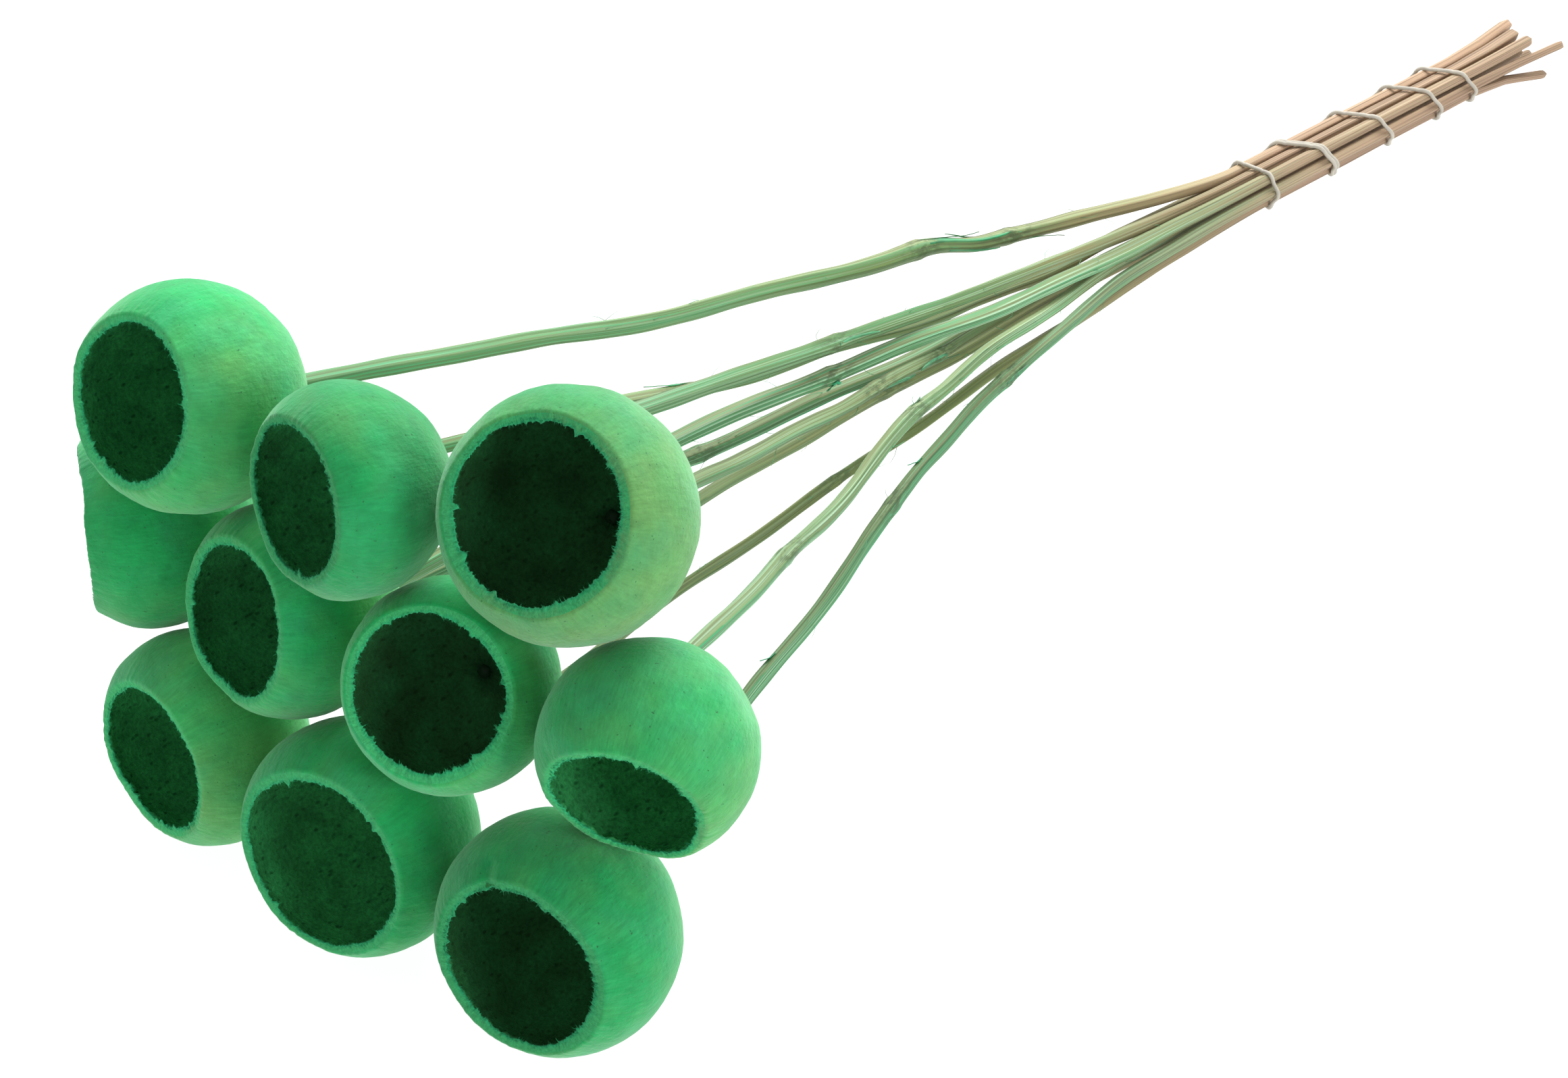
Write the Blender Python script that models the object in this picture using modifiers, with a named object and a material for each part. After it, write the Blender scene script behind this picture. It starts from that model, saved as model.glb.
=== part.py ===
"""Bunch of dried bell cup pods: ten open, woody cups, each on its own reed
stem, with the stems drawn together and bound by one wound elastic band.
The bunch lies down, on its lowest three cups and on the end of one stem.

Metres, +Z up. +Y runs from the cups to the bound end of the stems."""
import math

import bpy
from mathutils import Vector

MM = 0.001

# The bunch as it lies
BUNCH_LENGTH = 448 * MM      # middle of the cups to the bound ends
MIDDLE_HEIGHT = 65 * MM      # height of the bunch's axis among the cups
END_HEIGHT = 8.3 * MM        # and at the bound ends
TOUCH = 0.4 * MM             # clear space between neighbours that lean together
RESTING_FLAT = 0.6 * MM      # depth worn off the three cups that carry the bunch

# Each cup: diameter, place along Y, where its mouth faces, the mouth's width
# over the cup's, how far its front half is flattened, and the wall at its rim.
# The turn is from -Y towards +X and the nod is up from level, in degrees.
CUPS = {
    1: (48.0 * MM, 1.0 * MM, -1.5, 23, 0.75, 1.0, 1.4 * MM),
    2: (46.6 * MM, 2.5 * MM, -38, 1, 0.785, 0.935, 1.2 * MM),
    3: (43.5 * MM, -1.0 * MM, -12.5, 12.5, 0.79, 0.87, 1.2 * MM),
    4: (46.0 * MM, -1.0 * MM, -8.5, 16, 0.77, 0.96, 1.3 * MM),
    5: (50.5 * MM, 16.5 * MM, 16.5, 35.5, 0.785, 0.985, 1.6 * MM),
    6: (44.0 * MM, 0.5 * MM, 22.5, 29.5, 0.825, 1.0, 1.6 * MM),
    7: (44.0 * MM, 10.5 * MM, 22.5, -14, 0.77, 1.0, 1.2 * MM),
    8: (47.5 * MM, -11.5 * MM, -5, 6.5, 0.77, 0.85, 1.2 * MM),
    9: (50.5 * MM, -12.0 * MM, 9, 11, 0.83, 0.94, 1.4 * MM),
    10: (50.5 * MM, -6.0 * MM, 13, 10.5, 0.775, 0.935, 1.6 * MM),
}
BOTTOM_ROW = (10, 9, 8)      # from right to left, on the ground
FIRST_CUP_X = 54.7 * MM      # cup 10, at the right of the bottom row

# Which two cups each higher one rests against, on which side of them, and
# the clear space it keeps to each of the two
RESTS = (
    (6, 10, 9, "above", 6.2 * MM, TOUCH),
    (4, 9, 8, "above", TOUCH, TOUCH),
    (7, 10, 6, "right", TOUCH, TOUCH),
    (2, 8, 4, "left", TOUCH, 1.6 * MM),
    (5, 7, 6, "above", TOUCH, 1.6 * MM),
    (3, 6, 4, "above", TOUCH, TOUCH),
    (1, 4, 2, "above", TOUCH, TOUCH),
)

# The shell of a cup
POLE_WALL = 3.6 * MM         # the shell is thickest round the stem
STEM_HOLE_GAP = 0.3 * MM
SHELL_STEPS = 26
OUTER_POINTS = 9
INNER_POINTS = 7
ROUGHNESS = 0.3 * MM         # depth of the dents, all inwards
DENT_SIZE = 12 * MM
WELD_REACH = 0.05 * MM       # points nearer than this are one
GROUND_BLOCK = (0.4, 0.4, 0.05)   # metres, what the resting flats are cut with

# The stems
STEM_AT_CUP = 1.75 * MM      # radius
STEM_AT_TIE = 1.6 * MM
STEM_IN_CUP = 1.0 * MM       # length that shows inside the shell
STEM_STRAIGHT = 1.5 * MM     # straight length outside the shell
STEM_POINTS = 13
HALFWAY_SPREAD = 0.3         # share of the free end's spread, halfway to it
STEM_BEVEL = 2
BAND_BEVEL = 1
TIE_START = 306 * MM         # where the stems have come together
SLOT_PITCH = 3.8 * MM        # spacing of the stems in the tie, in rows of 3, 4, 3

# Each stem: its column and row in the tie, how far it keeps its first
# direction and its last one, how far it turns and nods off the cup's axis,
# and how far past the bunch's length it ends, with its spread there in X and Z.
STEMS = {
    1: ((-1.0, 1), 80 * MM, 30 * MM, -5, -8, -2 * MM, (-1.4 * MM, 1.5 * MM)),
    2: ((-1.5, 0), 110 * MM, 215 * MM, 7, -13, -9 * MM, (-0.9 * MM, 0.5 * MM)),
    3: ((0.0, 1), 85 * MM, 65 * MM, 14, 5, -6 * MM, (-0.5 * MM, 1.2 * MM)),
    4: ((1.0, 1), 115 * MM, 170 * MM, -5, -24, -6 * MM, (0.4 * MM, 0.9 * MM)),
    5: ((-0.5, 0), 115 * MM, 90 * MM, 2, -11, -4 * MM, (-0.4 * MM, 0.2 * MM)),
    6: ((0.0, -1), 65 * MM, 115 * MM, 9, -13, 3 * MM, (0.1 * MM, -1.3 * MM)),
    7: ((0.5, 0), 125 * MM, 155 * MM, -9, 23, -7 * MM, (0.3 * MM, 0.2 * MM)),
    8: ((-1.0, -1), 60 * MM, 280 * MM, 25, -7, -3 * MM, (-0.8 * MM, -1.1 * MM)),
    9: ((1.0, -1), 50 * MM, 35 * MM, 6, -6, -1 * MM, (4.2 * MM, -3.56 * MM)),
    10: ((1.5, 0), 130 * MM, 135 * MM, -3, -18, 8 * MM, (1.5 * MM, -0.4 * MM)),
}

# The elastic band
BAND_RADIUS = 0.55 * MM
BAND_CLEAR = 0.35 * MM       # outside the stems that carry it
BAND_WRAPS = (310 * MM, 334 * MM, 362 * MM, 387 * MM, 405 * MM)
BAND_ADVANCE = 13 * MM       # along the bunch, for half a turn over the front
BAND_FRONT_ANGLE = 48        # degrees from +X towards +Z
BAND_STEPS = 16              # points in a turn
BAND_HEAD_REACH = 1.5 * MM   # how far before the first wrap the cord begins
BAND_TAIL = 0.3              # turns that the last end runs on
BAND_TAIL_REACH = 2 * MM     # along the bunch, for the last end
FIRST_WRAP_LEAN = 1 * MM     # the first wrap goes almost straight round
ROUNDED_CORNER = 0.97        # the least that a corner's arc may pull the cord in
EDGE_ON = 0.05               # a side that faces a ray less than this is skipped

GREEN = (0.09, 0.36, 0.16)
REED = (0.45, 0.38, 0.22)
ELASTIC = (0.62, 0.60, 0.55)


def clear_scene():
    for item in list(bpy.data.objects):
        bpy.data.objects.remove(item, do_unlink=True)


def new_collection(name):
    collection = bpy.data.collections.new(name)
    bpy.context.scene.collection.children.link(collection)
    return collection


def new_material(name, color, roughness):
    material = bpy.data.materials.new(name)
    material.use_nodes = True
    shader = material.node_tree.nodes["Principled BSDF"]
    shader.inputs["Base Color"].default_value = (*color, 1.0)
    shader.inputs["Roughness"].default_value = roughness
    shader.inputs["Metallic"].default_value = 0.0
    return material


def tinted(color, number):
    """The colour, a little lighter or darker from one piece to the next."""
    return tuple(value * (0.85 + 0.03 * (number * 7 % 11)) for value in color)


def rest_between(first, second, radius, y, side):
    """The centre of a cup that leans on two others. Each of the two comes as
    a cup and the clear space to keep from it. Seen along Y, the centre is where
    two circles cross, and of the two crossings the side picks one."""
    (a, keep_a), (b, keep_b) = first, second
    reach_a = math.sqrt((a.reach + radius + keep_a) ** 2 - (y - a.centre.y) ** 2)
    reach_b = math.sqrt((b.reach + radius + keep_b) ** 2 - (y - b.centre.y) ** 2)
    across = Vector((b.centre.x - a.centre.x, b.centre.z - a.centre.z))
    span = across.length
    across.normalize()
    along = (reach_a ** 2 - reach_b ** 2 + span ** 2) / (2 * span)
    off = math.sqrt(reach_a ** 2 - along ** 2)
    foot = Vector((a.centre.x, a.centre.z)) + across * along
    sideways = Vector((-across.y, across.x)) * off
    crossings = (foot + sideways, foot - sideways)
    score = {"above": lambda p: p.y, "right": lambda p: p.x, "left": lambda p: -p.x}
    best = max(crossings, key=score[side])
    return Vector((best.x, y, best.y))


class Cup:
    """A cup's radius, centre and the unit vector out of its mouth, with the
    mouth's width over the cup's, the front's flattening and the rim's wall."""

    def __init__(self, number, centre):
        diameter, _, turn, nod, self.mouth, self.front, self.rim_wall = CUPS[number]
        self.reach = diameter / 2
        self.centre = centre
        self.out = direction(turn, nod)


def direction(turn, nod):
    """A unit vector, turned from -Y towards +X and then nodded up."""
    turn, nod = math.radians(turn), math.radians(nod)
    return Vector((math.sin(turn) * math.cos(nod), -math.cos(turn) * math.cos(nod),
                   math.sin(nod)))


def place_cups():
    """The bottom row stands on the ground side by side, and each higher cup
    rests between two that are placed already."""
    cups = {}
    x = FIRST_CUP_X
    before = None
    for number in BOTTOM_ROW:
        reach, y = CUPS[number][0] / 2, CUPS[number][1]
        z = reach - RESTING_FLAT
        if before is not None:
            step = (before.reach + reach + TOUCH) ** 2
            step -= (y - before.centre.y) ** 2 + (z - before.centre.z) ** 2
            x = before.centre.x - math.sqrt(step)
        before = Cup(number, Vector((x, y, z)))
        cups[number] = before
    for number, first, second, side, keep_first, keep_second in RESTS:
        reach, y = CUPS[number][0] / 2, CUPS[number][1]
        centre = rest_between((cups[first], keep_first), (cups[second], keep_second),
                              reach, y, side)
        cups[number] = Cup(number, centre)
    return cups


def shell_profile(cup, hole):
    """The cup's section, mouth up, from the rim's outer edge down the outside
    to the stem's hole and back up the inside. Points are (radius, height). The
    back half is round, and the front half is flattened towards the mouth."""
    rim = math.pi - math.asin(cup.mouth)
    start = math.asin(hole / cup.reach)

    def point(angle, wall):
        out = cup.reach - wall
        tall = (cup.front * cup.reach if angle > math.pi / 2 else cup.reach) - wall
        return out * math.sin(angle), -tall * math.cos(angle)

    points = []
    for i in range(OUTER_POINTS):
        points.append(point(rim + (start - rim) * i / (OUTER_POINTS - 1), 0.0))
    top = points[0][1]
    inner_rim = math.acos(-top / (cup.front * cup.reach - cup.rim_wall))
    inner_start = math.asin(hole / (cup.reach - POLE_WALL))
    for i in range(INNER_POINTS):
        share = i / (INNER_POINTS - 1)
        wall = POLE_WALL + (cup.rim_wall - POLE_WALL) * share
        points.append(point(inner_start + (inner_rim - inner_start) * share, wall))
    return points


def add_cup(number, cup, dents, collection, root):
    profile = shell_profile(cup, STEM_AT_CUP + STEM_HOLE_GAP)
    count = len(profile)
    mesh = bpy.data.meshes.new(f"cup_{number:02d}")
    edges = [(i, (i + 1) % count) for i in range(count)]
    mesh.from_pydata([(r, 0, z) for r, z in profile], edges, [])
    shell = bpy.data.objects.new(f"cup_{number:02d}", mesh)
    collection.objects.link(shell)
    shell.parent = root
    shell.location = cup.centre
    shell.rotation_euler = cup.out.to_track_quat("Z", "Y").to_euler()
    turned = shell.modifiers.new("turned", "SCREW")
    turned.axis = "Z"
    turned.angle = math.tau
    turned.steps = turned.render_steps = SHELL_STEPS
    turned.use_merge_vertices = True
    turned.merge_threshold = WELD_REACH
    turned.use_smooth_shade = True
    rough = shell.modifiers.new("dents", "DISPLACE")
    rough.texture = dents
    rough.texture_coords = "GLOBAL"
    rough.strength = ROUGHNESS
    rough.mid_level = 1.0
    mesh.materials.append(new_material(f"dyed pod shell {number}",
                                       tinted(GREEN, number), 0.9))
    return shell


def wear_flat(shell, ground):
    """Cuts the small flat that a cup of the bottom row lies on."""
    cut = shell.modifiers.new("resting flat", "BOOLEAN")
    cut.operation = "DIFFERENCE"
    cut.solver = "EXACT"
    cut.object = ground


def bunch_axis(y):
    """The middle of the bunch at a distance along it."""
    drop = (END_HEIGHT - MIDDLE_HEIGHT) * y / BUNCH_LENGTH
    return Vector((0, y, MIDDLE_HEIGHT + drop))


def slot_offset(slot):
    """Column and row of the close-packed tie, as an offset from its middle."""
    column, row = slot
    return Vector((column * SLOT_PITCH, 0, row * SLOT_PITCH * math.sin(math.pi / 3)))


def stem_route(number, cup):
    """Points and radii of a stem: straight through the shell, then a cubic
    Bezier curve to its slot, then along the tie and out to its free end."""
    slot, lead, draw, turn, nod, extra, spread = STEMS[number]
    outside = cup.reach + STEM_STRAIGHT
    inside = cup.reach - POLE_WALL - STEM_IN_CUP
    points = [cup.centre - cup.out * inside]
    start = cup.centre - cup.out * outside
    turn, nod = CUPS[number][2] + turn, CUPS[number][3] + nod
    offset = slot_offset(slot)
    tie_in = bunch_axis(TIE_START) + offset
    downhill = (bunch_axis(1) - bunch_axis(0)).normalized()
    corners = (start, start - direction(turn, nod) * lead, tie_in - downhill * draw, tie_in)
    for i in range(STEM_POINTS):
        t = i / (STEM_POINTS - 1)
        weights = ((1 - t) ** 3, 3 * t * (1 - t) ** 2, 3 * t * t * (1 - t), t ** 3)
        points.append(sum((w * c for w, c in zip(weights, corners)), Vector()))
    last_wrap = BAND_WRAPS[-1] + BAND_ADVANCE / 2
    points.append(bunch_axis(last_wrap) + offset)
    finish = bunch_axis(BUNCH_LENGTH + extra) + offset
    halfway = (points[-1] + finish) / 2
    points.append(halfway + Vector((spread[0], 0, spread[1])) * HALFWAY_SPREAD)
    points.append(finish + Vector((spread[0], 0, spread[1])))
    tapered = STEM_POINTS + 1
    radii = []
    for i in range(len(points)):
        share = min(i / tapered, 1.0)
        radii.append(STEM_AT_CUP + (STEM_AT_TIE - STEM_AT_CUP) * share)
    return points, radii


def add_tube(name, points, radii, sides_detail, material, collection, root):
    """A round tube with closed ends along a list of points."""
    data = bpy.data.curves.new(name, "CURVE")
    data.dimensions = "3D"
    data.bevel_depth = 1.0
    data.bevel_resolution = sides_detail
    data.use_fill_caps = True
    spline = data.splines.new("POLY")
    spline.points.add(len(points) - 1)
    for target, point, radius in zip(spline.points, points, radii):
        target.co = (*point, 1)
        target.radius = radius
    data.materials.append(material)
    tube = bpy.data.objects.new(name, data)
    collection.objects.link(tube)
    tube.parent = root
    return tube


def taut_radius(angle, offset):
    """How far out a cord lies that is pulled tight round the tie's six corner
    stems, at an angle about its axis and an offset from the stems' centres:
    the support line of each corner pair, or the arc round a corner."""
    corners = [slot_offset(s) for s in ((1.5, 0), (1, 1), (-1, 1), (-1.5, 0), (-1, -1), (1, -1))]
    ray = Vector((math.cos(angle), math.sin(angle)))
    best = math.inf
    for i, corner in enumerate(corners):
        following = corners[(i + 1) % 6]
        a = Vector((corner.x, corner.z))
        b = Vector((following.x, following.z))
        normal = Vector((b.y - a.y, a.x - b.x)).normalized()
        facing = ray.dot(normal)
        if facing > EDGE_ON:
            best = min(best, (a.dot(normal) + offset) / facing)
    round_reach = 0.0
    for corner in corners:
        a = Vector((corner.x, corner.z))
        ahead = a.dot(ray)
        side = a.length_squared - ahead ** 2
        if ahead > 0 and side < offset ** 2:
            round_reach = max(round_reach, ahead + math.sqrt(offset ** 2 - side))
    if round_reach > 0:
        best = min(best, max(round_reach, ROUNDED_CORNER * best))
    return best


def band_route():
    """The band's middle line. Each wrap crosses the front at its own place
    and advances evenly there, and the turns between them cross the back."""
    turns = [-0.5]
    places = [BAND_WRAPS[0] - BAND_HEAD_REACH]
    for i, wrap in enumerate(BAND_WRAPS):
        half = BAND_ADVANCE / 2 if i else 0.0
        turns += [i - 0.25, i + 0.25]
        places += [wrap - half, wrap + half + (0.0 if i else FIRST_WRAP_LEAN)]
    turns.append(turns[-1] + BAND_TAIL)
    places.append(places[-1] + BAND_TAIL_REACH)
    offset = STEM_AT_TIE + BAND_CLEAR + BAND_RADIUS
    points = []
    count = round((turns[-1] - turns[0]) * BAND_STEPS)
    for i in range(count + 1):
        turn = turns[0] + (turns[-1] - turns[0]) * i / count
        angle = math.radians(BAND_FRONT_ANGLE) - math.tau * turn
        leg = max(k for k in range(len(turns) - 1) if turns[k] <= turn + 1e-9)
        share = (turn - turns[leg]) / (turns[leg + 1] - turns[leg])
        y = places[leg] + (places[leg + 1] - places[leg]) * share
        reach = taut_radius(angle, offset)
        points.append(bunch_axis(y) + Vector((math.cos(angle), 0, math.sin(angle))) * reach)
    return points


def add_ground_cutter(collection, root):
    """A block whose top is the surface that the bunch lies on."""
    bpy.ops.mesh.primitive_cube_add(size=1)
    block = bpy.context.active_object
    block.name = "ground_cutter"
    block.scale = GROUND_BLOCK
    block.location = (0, 0, -GROUND_BLOCK[2] / 2)
    bpy.ops.object.transform_apply(location=True, rotation=False, scale=True)
    for owner in list(block.users_collection):
        owner.objects.unlink(block)
    collection.objects.link(block)
    block.parent = root
    block.hide_render = True
    block.display_type = "WIRE"
    return block


def centre_over_origin(root, collection):
    """Moves the whole bunch level until its box is centred on the origin."""
    bpy.context.view_layer.update()
    graph = bpy.context.evaluated_depsgraph_get()
    low = Vector((math.inf,) * 3)
    high = Vector((-math.inf,) * 3)
    for item in collection.objects:
        if item.type == "EMPTY":
            continue
        shape = item.evaluated_get(graph)
        mesh = shape.to_mesh()
        for vertex in mesh.vertices:
            place = shape.matrix_world @ vertex.co
            low = Vector(map(min, low, place))
            high = Vector(map(max, high, place))
        shape.to_mesh_clear()
    root.location = (-(low.x + high.x) / 2, -(low.y + high.y) / 2, 0)
    bpy.context.view_layer.update()


def main():
    clear_scene()
    bunch = new_collection("bell_cup_pod_bunch")
    cutters = new_collection("cutters")
    root = bpy.data.objects.new("bunch_root", None)
    bunch.objects.link(root)
    dents = bpy.data.textures.new("shell dents", "CLOUDS")
    dents.noise_scale = DENT_SIZE
    dents.noise_depth = 1

    cups = place_cups()
    ground = add_ground_cutter(cutters, root)
    for number in sorted(cups):
        shell = add_cup(number, cups[number], dents, bunch, root)
        if number in BOTTOM_ROW:
            wear_flat(shell, ground)
        points, radii = stem_route(number, cups[number])
        material = new_material(f"dyed reed {number}", tinted(REED, number), 0.7)
        add_tube(f"stem_{number:02d}", points, radii, STEM_BEVEL, material, bunch, root)

    route = band_route()
    elastic = new_material("covered elastic", ELASTIC, 0.8)
    add_tube("band", route, [BAND_RADIUS] * len(route), BAND_BEVEL, elastic, bunch,
             root)
    centre_over_origin(root, bunch)


main()
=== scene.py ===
"""Looks of a bunch of dried bell cup pods: ten woody cups dyed green, on
ribbed reed stems that are bound together with a wound elastic."""
from collections import namedtuple

import bpy
import numpy as np
from bpy.props import FloatProperty, FloatVectorProperty, PointerProperty
from mathutils import Matrix


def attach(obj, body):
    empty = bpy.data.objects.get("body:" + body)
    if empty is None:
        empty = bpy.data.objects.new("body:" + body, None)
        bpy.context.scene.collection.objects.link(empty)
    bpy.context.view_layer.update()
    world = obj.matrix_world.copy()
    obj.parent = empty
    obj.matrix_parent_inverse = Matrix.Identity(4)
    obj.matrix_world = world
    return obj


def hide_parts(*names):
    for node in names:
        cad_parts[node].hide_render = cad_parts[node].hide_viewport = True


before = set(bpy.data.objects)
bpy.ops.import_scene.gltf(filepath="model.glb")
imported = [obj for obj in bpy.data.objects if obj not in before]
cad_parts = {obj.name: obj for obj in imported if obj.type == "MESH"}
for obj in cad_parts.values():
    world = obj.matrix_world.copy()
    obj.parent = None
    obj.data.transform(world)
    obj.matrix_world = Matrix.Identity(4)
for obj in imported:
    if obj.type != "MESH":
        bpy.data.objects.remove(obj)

bl_info = {
    "name": "Bell cup pod bunch",
    "version": (1, 0, 0),
    "blender": (4, 5, 0),
    "location": "3D View > Sidebar > Pods",
    "description": "Builds dried bell cup pods, their reed stems and the elastic",
    "category": "Object",
}

MM = 0.001
TAU = 2 * np.pi
ACROSS, ALONG, UP = np.eye(3)
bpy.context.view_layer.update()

# The bunch, as its solids are laid out. Its own origin is in the middle of
# the cups, and this is where the frame has it.
BUNCH_ORIGIN = np.array([2.91, -213.21, 0.0]) * MM
BUNCH_LENGTH = 448 * MM
MIDDLE_HEIGHT = 65 * MM
END_HEIGHT = 8.3 * MM
TOUCH = 0.4 * MM
RESTING_FLAT = 0.6 * MM

# Each cup: diameter, place along Y, turn of its mouth from -Y towards +X, its
# nod up from level, the mouth's width over the cup's, how far the front half
# is flattened, the wall at the rim, how much yellow shows in its dye, how lit
# its lining is painted (low values paint shade into it), and how light its husk is
Cup = namedtuple("Cup", "diameter y turn nod mouth front wall warm soak tone")
CUPS = {
    1: Cup(48.0 * MM, 1.0 * MM, -1.5, 23, 0.75, 1.0, 1.4 * MM, 0.2, 1.1, 1.25),
    2: Cup(46.6 * MM, 2.5 * MM, -38, 1, 0.785, 0.935, 1.2 * MM, 0.08, 0.9, 1.08),
    3: Cup(43.5 * MM, -1.0 * MM, -12.5, 12.5, 0.79, 0.87, 1.2 * MM, 0.04, 0.8, 0.92),
    4: Cup(46.0 * MM, -1.0 * MM, -8.5, 16, 0.77, 0.96, 1.3 * MM, 0.12, 0.8, 1.15),
    5: Cup(50.5 * MM, 16.5 * MM, 16.5, 35.5, 0.785, 0.985, 1.6 * MM, 0.62, 0.25, 0.96),
    6: Cup(44.0 * MM, 0.5 * MM, 22.5, 29.5, 0.825, 1.0, 1.6 * MM, 0.05, 0.25, 1.18),
    7: Cup(44.0 * MM, 10.5 * MM, 22.5, -14, 0.77, 1.0, 1.2 * MM, 0.25, 0.95, 1.1),
    8: Cup(47.5 * MM, -11.5 * MM, -5, 6.5, 0.77, 0.85, 1.2 * MM, 0.3, 1.0, 1.3),
    9: Cup(50.5 * MM, -12.0 * MM, 9, 11, 0.83, 0.94, 1.4 * MM, 0.05, 0.85, 1.08),
    10: Cup(50.5 * MM, -6.0 * MM, 13, 10.5, 0.775, 0.935, 1.6 * MM, 0.05, 0.35, 0.92),
}
FIRST_CUP_X = 54.7 * MM
# Each higher cup: the two lower cups that it rests on, which side of them it
# is on, and the gaps that it keeps from them
RESTS = (
    (6, 10, 9, "above", 6.2 * MM, TOUCH),
    (4, 9, 8, "above", TOUCH, TOUCH),
    (7, 10, 6, "right", TOUCH, TOUCH),
    (2, 8, 4, "left", TOUCH, 1.6 * MM),
    (5, 7, 6, "above", TOUCH, 1.6 * MM),
    (3, 6, 4, "above", TOUCH, TOUCH),
    (1, 4, 2, "above", TOUCH, TOUCH),
)

# Shell of a cup
POLE_WALL = 3.6 * MM
SKIN_DEPTH = 0.2 * MM        # the skin's highest points stay this far inside
GLUED_HOLE = 1.2 * MM        # radius where the shell closes on its glued reed
RIM_BEVEL = 0.55 * MM
RIM_WAVE = 0.22 * MM         # slow and quick unevenness of the sawn face
RIM_RIPPLE = 0.045 * MM
SKIN_DENTS = ((0.11 * MM, 15 * MM), (0.025 * MM, 3.5 * MM))   # depths and widths
LINING_BUMPS = (0.18 * MM, 3 * MM)
LINING_GRIT = 0.06 * MM
TORN_DROP = 0.2 * MM         # from the sawn face to the torn edge
LIP_DROPS = np.array([[0.16], [0.4], [0.9]]) * MM   # of the rows under the torn edge
NOTCHED_CUP = 10             # its rim has a broken place
NOTCH_ANGLE = 2.05
NOTCH_WIDTH = 0.10
NOTCH_DEPTH = 1.2 * MM
CUP_AROUND = 440
OUTER_ROWS = 32
BEVEL_ROWS = 4
RIM_ROWS = 6
LINING_ROWS = 18
RIM_FIBRES = 480
POLE_REACH = 10 * MM         # how far from its stem a cup's pole is told apart
GRAIN_RADIUS = 24 * MM       # a cup's usual reach, for patterns that go round it
SHELL_SHIFT = 10 * MM        # along the grain from one cup's pattern to the next

# Stems, in millimetres and degrees: column and row in the tie, length of the
# first and last direction, turn and nod off the cup's axis, how far past the
# bunch's length the stem ends, its spread there in X and Z, and how stout, how
# green, how finely striped and how light it is
Stem = namedtuple("Stem", "slot lead draw turn nod extra spread stout green stripes tone")
STEMS = {
    1: Stem((-1.0, 1), 80, 30, -5, -8, -2, (-1.4, 1.5), 1.22, 0.5, 0.25, 1.12),
    2: Stem((-1.5, 0), 110, 215, 7, -13, -9, (-0.9, 0.5), 1.0, 0.42, 0.35, 1.15),
    3: Stem((0.0, 1), 85, 65, 14, 5, -6, (-0.5, 1.2), 1.2, 0.55, 0.45, 0.94),
    4: Stem((1.0, 1), 115, 170, -5, -24, -6, (0.4, 0.9), 1.18, 0.95, 1.0, 1.0),
    5: Stem((-0.5, 0), 115, 90, 2, -11, -4, (-0.4, 0.2), 1.02, 0.45, 0.4, 0.9),
    6: Stem((0.0, -1), 65, 115, 9, -13, 3, (0.1, -1.3), 0.93, 0.3, 0.2, 0.82),
    7: Stem((0.5, 0), 125, 155, -9, 23, -7, (0.3, 0.2), 1.0, 0.6, 0.85, 1.02),
    8: Stem((-1.0, -1), 60, 280, 25, -7, -3, (-0.8, -1.1), 1.12, 0.72, 0.5, 0.9),
    9: Stem((1.0, -1), 50, 35, 6, -6, -1, (4.2, -3.56), 1.0, 0.25, 0.2, 0.86),
    10: Stem((1.5, 0), 130, 135, -3, -18, 8, (1.5, -0.4), 0.98, 0.85, 0.7, 0.92),
}
STEM_AT_CUP = 1.75 * MM
STEM_AT_TIE = 1.6 * MM
STEM_IN_CUP = 1.0 * MM
STEM_STRAIGHT = 1.5 * MM
TIE_START = 306 * MM
END_INSET = 0.15 * MM        # the visible end stays this far inside the solid's
SLOT_PITCH = 3.8 * MM
STEM_WANDER = 0.3 * MM
CURVE_STEPS = 120
STEM_STATIONS = 320
STEM_SIDES = 36
REED_HAIRS = 16
KNOT_LENGTH = 7              # in millimetres, how far a joint's blotches reach
STRIP_FRESH = 0.35           # how much dye torn strips and hairs show, where a barb shows 1
HAIR_FRESH = 0.7
LONGEST_BARB = 5             # in millimetres, as the splinters' own sizes are
REED_SHIFT = 370 * MM        # along the grain from one reed's pattern to the next
END_STOUT = {1: 1.12, 3: 1.18, 9: 0.72, 10: 0.88}   # of the free ends, where it isn't 1
LIT_SIDE = np.radians(130)  # the upper side of every reed, painted a paler khaki as painted light

# What the reeds are marked with, in millimetres from the cup. Bends: how far
# the reed strays towards its painted lit side, and over what length. Joints: places
# where it is swollen. Splinters: start, reach (below zero towards the cup),
# side in degrees, half width, and how far the loose end stands off.
BENDS = {
    1: ((100, -1.7, 42), (190, 0.9, 12), (205, -0.8, 9)),
    2: ((150, 0.8, 30),),
    5: ((126, 0.7, 14), (155, -0.9, 12)),
    7: ((51, 0.5, 12), (128, 0.6, 14)),
    10: ((55, 1.6, 38), (139, 0.5, 10), (180, -0.7, 14)),
}
JOINTS = {1: (187, 217), 2: (104,), 3: (132,), 4: (125,), 5: (126, 155), 6: (158,),
          7: (51, 128), 8: (118,), 9: (140,), 10: (125, 180)}
WAISTED_STEM, WAIST_PLACE, WAIST_LENGTH = 1, 202 * MM, 8 * MM   # thinner between its joints
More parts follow.
